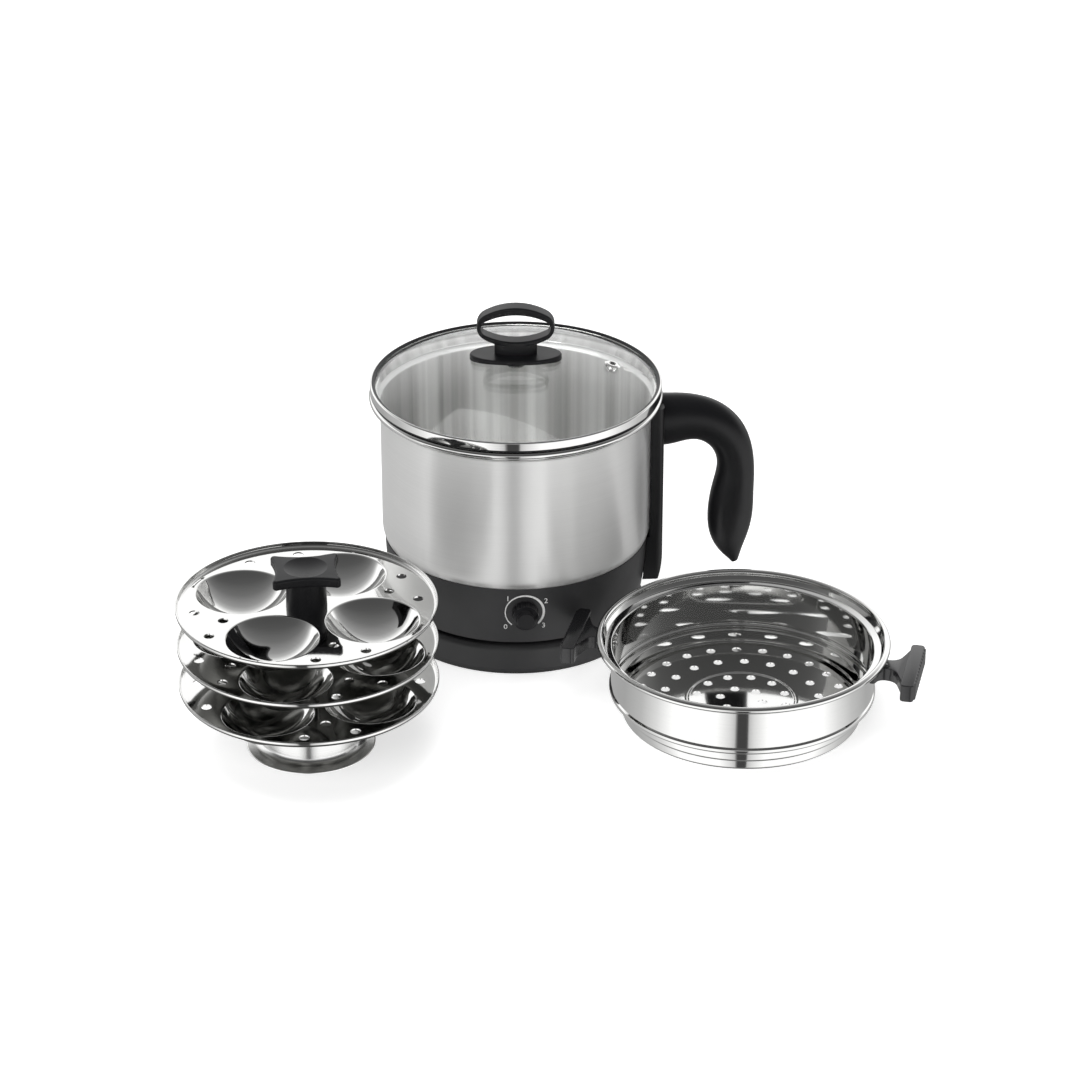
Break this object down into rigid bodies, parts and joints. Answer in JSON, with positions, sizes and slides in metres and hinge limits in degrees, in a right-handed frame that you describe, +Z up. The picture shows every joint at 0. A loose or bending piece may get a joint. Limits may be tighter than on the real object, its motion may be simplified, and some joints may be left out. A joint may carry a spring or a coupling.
{
  "type": "idli steamer",
  "caption": "Electric idli steamer set: steel kettle with glass lid, dial and handle on a power base, a tiered idli rack and a perforated steamer basket.",
  "frame": {"origin": "on the table, under the axis of the kettle and its power base", "axes": "+X along the kettle's handle, -Y out through the dial, +Z up"},
  "size_m": [0.3947, 0.2815, 0.1883],
  "materials": {
    "black_plastic": "satin moulded",
    "satin_steel": "satin polished",
    "polished_steel": "bright polished stainless steel",
    "plated_steel": "zinc plated",
    "clear_glass": "clear tempered",
    "brass": "plain",
    "aluminium": "cast",
    "rubber": "matte",
    "moulded_resin": "moulded"
  },
  "bodies": {
    "power_base": {"power_base_shell": "black_plastic", "power_base_bottom": "black_plastic", "power_base_screws": "plated_steel", "power_base_feet": "rubber", "base_connector": "black_plastic", "base_ring_contact": "brass", "base_pin_contact": "brass"},
    "coupler": {"kettle_coupler": "black_plastic", "coupler_pin": "brass", "coupler_ring": "brass"},
    "kettle": {"pot": "satin_steel", "heat_plate": "aluminium", "heating_element": "plated_steel", "thermal_cutout": "moulded_resin", "base_collar": "black_plastic", "kettle_floor": "black_plastic", "kettle_floor_screws": "plated_steel", "thermostat_body": "moulded_resin", "thermostat_nut": "plated_steel", "handle": "black_plastic", "handle_bracket": "plated_steel", "handle_screws": "plated_steel"},
    "dial": {"thermostat_shaft": "plated_steel", "dial_knob": "black_plastic"},
    "lid": {"lid_glass": "clear_glass", "lid_vent": "polished_steel", "lid_rim_ring": "polished_steel", "lid_knob": "black_plastic", "lid_knob_washer": "black_plastic", "lid_knob_screw": "plated_steel"},
    "rack": {"rack_foot": "polished_steel", "rack_rod": "polished_steel", "lower_spacer": "polished_steel"},
    "lower_tier": {"lower_plate": "polished_steel", "middle_spacer": "polished_steel"},
    "middle_tier": {"middle_plate": "polished_steel", "upper_spacer": "polished_steel"},
    "upper_tier": {"upper_plate": "polished_steel"},
    "rack_top": {"rack_knob": "black_plastic", "rack_knob_insert": "brass"},
    "basket": {"steamer_basket": "polished_steel", "basket_handle_right": "black_plastic", "basket_rivets_right": "polished_steel", "basket_handle_left": "black_plastic", "basket_rivets_left": "polished_steel"}
  },
  "joints": [
    {"name": "kettle_lift", "type": "slide", "parent": "power_base", "child": "coupler", "axis": [0, 0, 1], "range_m": [0, 0.1]},
    {"name": "kettle_swivel", "type": "hinge", "parent": "coupler", "child": "kettle", "pos_m": [0, 0, 0.0195], "axis": [0, 0, 1], "range_deg": [-10, 8]},
    {"name": "lid_lift", "type": "slide", "parent": "kettle", "child": "lid", "axis": [0, 0, 1], "range_m": [0, 0.12]},
    {"name": "dial_turn", "type": "hinge", "parent": "kettle", "child": "dial", "pos_m": [0, -0.072, 0.0392], "axis": [0, 1, 0], "range_deg": [0, 270]},
    {"name": "rack_lift", "type": "slide", "parent": "power_base", "child": "rack", "axis": [0, 0, 1], "range_m": [0, 0.15]},
    {"name": "lower_plate_lift", "type": "slide", "parent": "rack", "child": "lower_tier", "axis": [0, 0, 1], "range_m": [0, 0.07]},
    {"name": "middle_plate_lift", "type": "slide", "parent": "lower_tier", "child": "middle_tier", "axis": [0, 0, 1], "range_m": [0, 0.05]},
    {"name": "upper_plate_lift", "type": "slide", "parent": "middle_tier", "child": "upper_tier", "axis": [0, 0, 1], "range_m": [0, 0.04]},
    {"name": "rack_knob_turn", "type": "hinge", "parent": "upper_tier", "child": "rack_top", "pos_m": [-0.1171, -0.1335, 0.09], "axis": [0, 0, 1], "range_deg": [0, 1080]},
    {"name": "basket_lift", "type": "slide", "parent": "power_base", "child": "basket", "axis": [0.1414, -0.1414, 0.9798], "range_m": [0, 0.15]}
  ]
}
